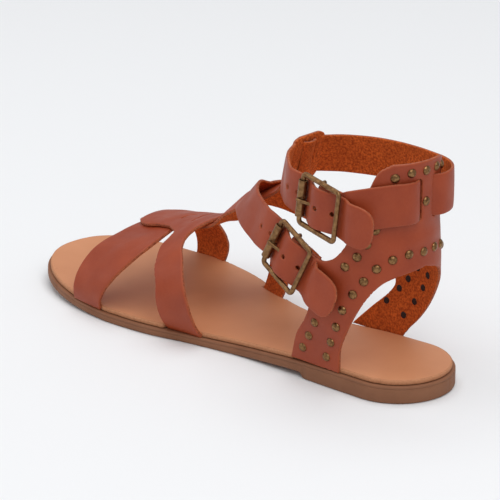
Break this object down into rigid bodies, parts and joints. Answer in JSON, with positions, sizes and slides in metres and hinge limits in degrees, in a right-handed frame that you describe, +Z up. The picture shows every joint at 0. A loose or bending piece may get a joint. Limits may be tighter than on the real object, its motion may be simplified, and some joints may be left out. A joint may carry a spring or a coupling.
{
  "type": "gladiator sandal",
  "caption": "Flat leather gladiator sandal, left shoe, with a studded heel cuff, T-bar, crossed vamp and buckled ankle and instep straps.",
  "frame": {"origin": "on the floor under the middle of the heel seat, in the flat underside of the heel", "axes": "+X points to the toe, +Y to the outer side of the left foot, +Z up"},
  "size_m": [0.25, 0.0912, 0.1112],
  "materials": {
    "outsole": "matt moulded rubber, leather brown, with a lighter top edge",
    "footbed": "smooth tan leather, satin",
    "leather": "red-brown leather, satin, with burnt-orange suede lining",
    "brass": "antiqued brass, dull"
  },
  "bodies": {
    "root": {"outsole": "outsole", "footbed": "footbed", "cuff": "leather", "vamp": "leather", "ankle_strap": "leather", "instep_strap": "leather", "upper_buckle": "brass", "upper_prong": "brass", "upper_roller_top": "brass", "upper_roller_bottom": "brass", "lower_buckle": "brass", "lower_prong": "brass", "lower_roller_top": "brass", "lower_roller_bottom": "brass"}
  },
  "joints": []
}
